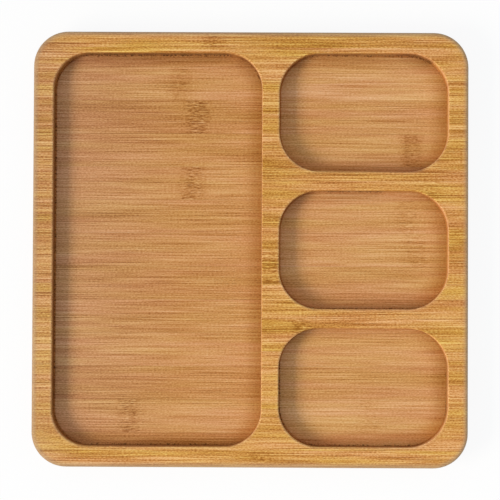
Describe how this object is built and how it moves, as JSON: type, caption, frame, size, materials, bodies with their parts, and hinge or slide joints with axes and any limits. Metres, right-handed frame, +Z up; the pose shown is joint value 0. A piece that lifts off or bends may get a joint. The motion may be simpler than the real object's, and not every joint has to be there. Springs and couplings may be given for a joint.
{
  "type": "divided compartment plate",
  "caption": "Square bamboo serving plate with rounded corners, milled into one long compartment beside a column of small ones, glued up from flat strips in crossed plies.",
  "frame": {"origin": "middle of the underside, on the table", "axes": "+Z up out of the compartments, +X along the grain of the rim from the long compartment to the small ones, +Y to the back, which is the top of the picture"},
  "size_m": [0.25, 0.25, 0.015],
  "materials": {
    "base_bamboo": "sanded carbonised bamboo, thin food-safe oil",
    "core_bamboo": "sanded carbonised bamboo, end grain and long grain, thin food-safe oil",
    "top_bamboo": "sanded carbonised bamboo, thin food-safe oil"
  },
  "bodies": {
    "root": {"base_strip_01": "base_bamboo", "base_strip_02": "base_bamboo", "base_strip_03": "base_bamboo", "base_strip_04": "base_bamboo", "base_strip_05": "base_bamboo", "base_strip_06": "base_bamboo", "base_strip_07": "base_bamboo", "base_strip_08": "base_bamboo", "base_strip_09": "base_bamboo", "base_strip_10": "base_bamboo", "base_strip_11": "base_bamboo", "base_strip_12": "base_bamboo", "base_strip_13": "base_bamboo", "core_strip_01": "core_bamboo", "core_strip_02": "core_bamboo", "core_strip_03": "core_bamboo", "core_strip_04": "core_bamboo", "core_strip_05": "core_bamboo", "core_strip_06": "core_bamboo", "core_strip_07": "core_bamboo", "core_strip_08": "core_bamboo", "core_strip_09": "core_bamboo", "core_strip_10": "core_bamboo", "core_strip_11": "core_bamboo", "core_strip_12": "core_bamboo", "core_strip_13": "core_bamboo", "top_strip_01": "top_bamboo", "top_strip_02": "top_bamboo", "top_strip_03": "top_bamboo", "top_strip_04": "top_bamboo", "top_strip_05": "top_bamboo", "top_strip_06": "top_bamboo", "top_strip_07": "top_bamboo", "top_strip_08": "top_bamboo", "top_strip_09": "top_bamboo", "top_strip_10": "top_bamboo", "top_strip_11": "top_bamboo", "top_strip_12": "top_bamboo", "top_strip_13": "top_bamboo", "top_strip_14": "top_bamboo"}
  },
  "joints": []
}
